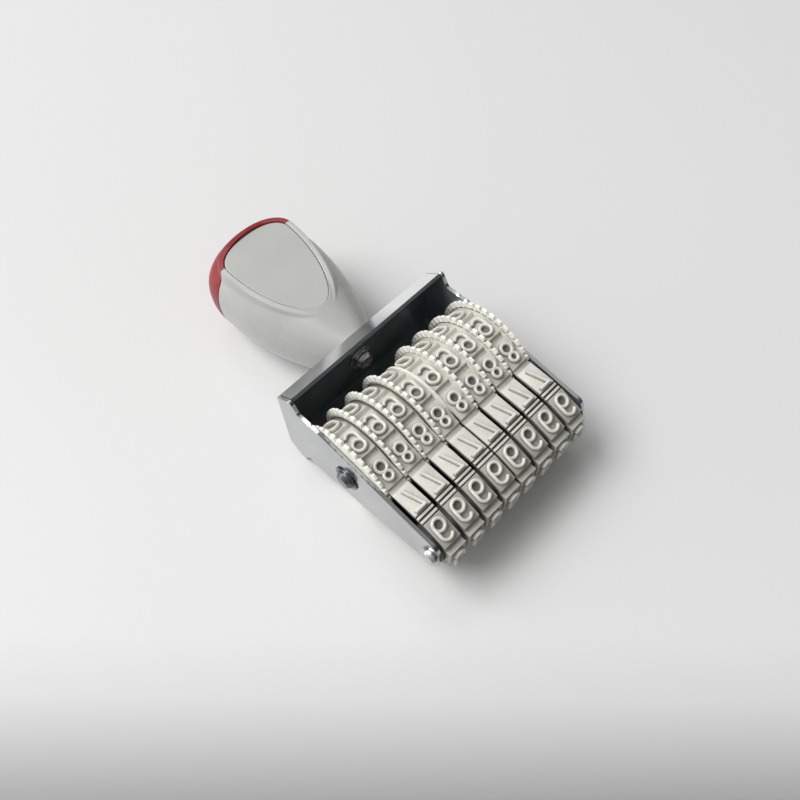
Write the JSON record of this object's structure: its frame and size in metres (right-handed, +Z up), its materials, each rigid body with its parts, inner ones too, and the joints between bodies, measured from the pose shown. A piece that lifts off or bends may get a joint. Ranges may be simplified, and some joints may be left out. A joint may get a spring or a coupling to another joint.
{
  "type": "rotary number stamp",
  "caption": "Hand stamp with rubber digit bands on thumb wheels in a bent sheet frame, lying on its back, with a tapered handle and end cap.",
  "frame": {"origin": "middle of the outline on the floor, with the stamp lying on its back", "axes": "+X across the wheels from the left plate to the right one, +Y from the print face to the handle, +Z up out of the open front"},
  "size_m": [0.048, 0.0874, 0.026],
  "materials": {
    "chrome": "bright plated",
    "steel": "turned",
    "bar": "dull",
    "wheel": "moulded",
    "band": "smooth",
    "handle": "gloss",
    "cap": "gloss",
    "panel": "satin"
  },
  "bodies": {
    "frame": {"frame": "chrome", "axle": "steel", "axle_washers": "steel", "nose_bar": "bar", "nose_screws": "steel", "band_1": "band", "band_2": "band", "band_3": "band", "band_4": "band", "band_5": "band", "band_6": "band", "band_7": "band", "band_8": "band", "handle_body": "handle", "handle_cap": "cap", "front_panel": "panel", "back_panel": "panel", "handle_screw": "steel", "handle_washer": "steel"},
    "wheel_1": {"wheel_1": "wheel"},
    "wheel_2": {"wheel_2": "wheel"},
    "wheel_3": {"wheel_3": "wheel"},
    "wheel_4": {"wheel_4": "wheel"},
    "wheel_5": {"wheel_5": "wheel"},
    "wheel_6": {"wheel_6": "wheel"},
    "wheel_7": {"wheel_7": "wheel"},
    "wheel_8": {"wheel_8": "wheel"}
  },
  "joints": [
    {"name": "wheel_1_spin", "type": "hinge", "parent": "frame", "child": "wheel_1", "pos_m": [0, -0.01553, 0.013], "axis": [1, 0, 0], "continuous": true},
    {"name": "wheel_2_spin", "type": "hinge", "parent": "frame", "child": "wheel_2", "pos_m": [0, -0.01553, 0.013], "axis": [1, 0, 0], "continuous": true},
    {"name": "wheel_3_spin", "type": "hinge", "parent": "frame", "child": "wheel_3", "pos_m": [0, -0.01553, 0.013], "axis": [1, 0, 0], "continuous": true},
    {"name": "wheel_4_spin", "type": "hinge", "parent": "frame", "child": "wheel_4", "pos_m": [0, -0.01553, 0.013], "axis": [1, 0, 0], "continuous": true},
    {"name": "wheel_5_spin", "type": "hinge", "parent": "frame", "child": "wheel_5", "pos_m": [0, -0.01553, 0.013], "axis": [1, 0, 0], "continuous": true},
    {"name": "wheel_6_spin", "type": "hinge", "parent": "frame", "child": "wheel_6", "pos_m": [0, -0.01553, 0.013], "axis": [1, 0, 0], "continuous": true},
    {"name": "wheel_7_spin", "type": "hinge", "parent": "frame", "child": "wheel_7", "pos_m": [0, -0.01553, 0.013], "axis": [1, 0, 0], "continuous": true},
    {"name": "wheel_8_spin", "type": "hinge", "parent": "frame", "child": "wheel_8", "pos_m": [0, -0.01553, 0.013], "axis": [1, 0, 0], "continuous": true}
  ]
}
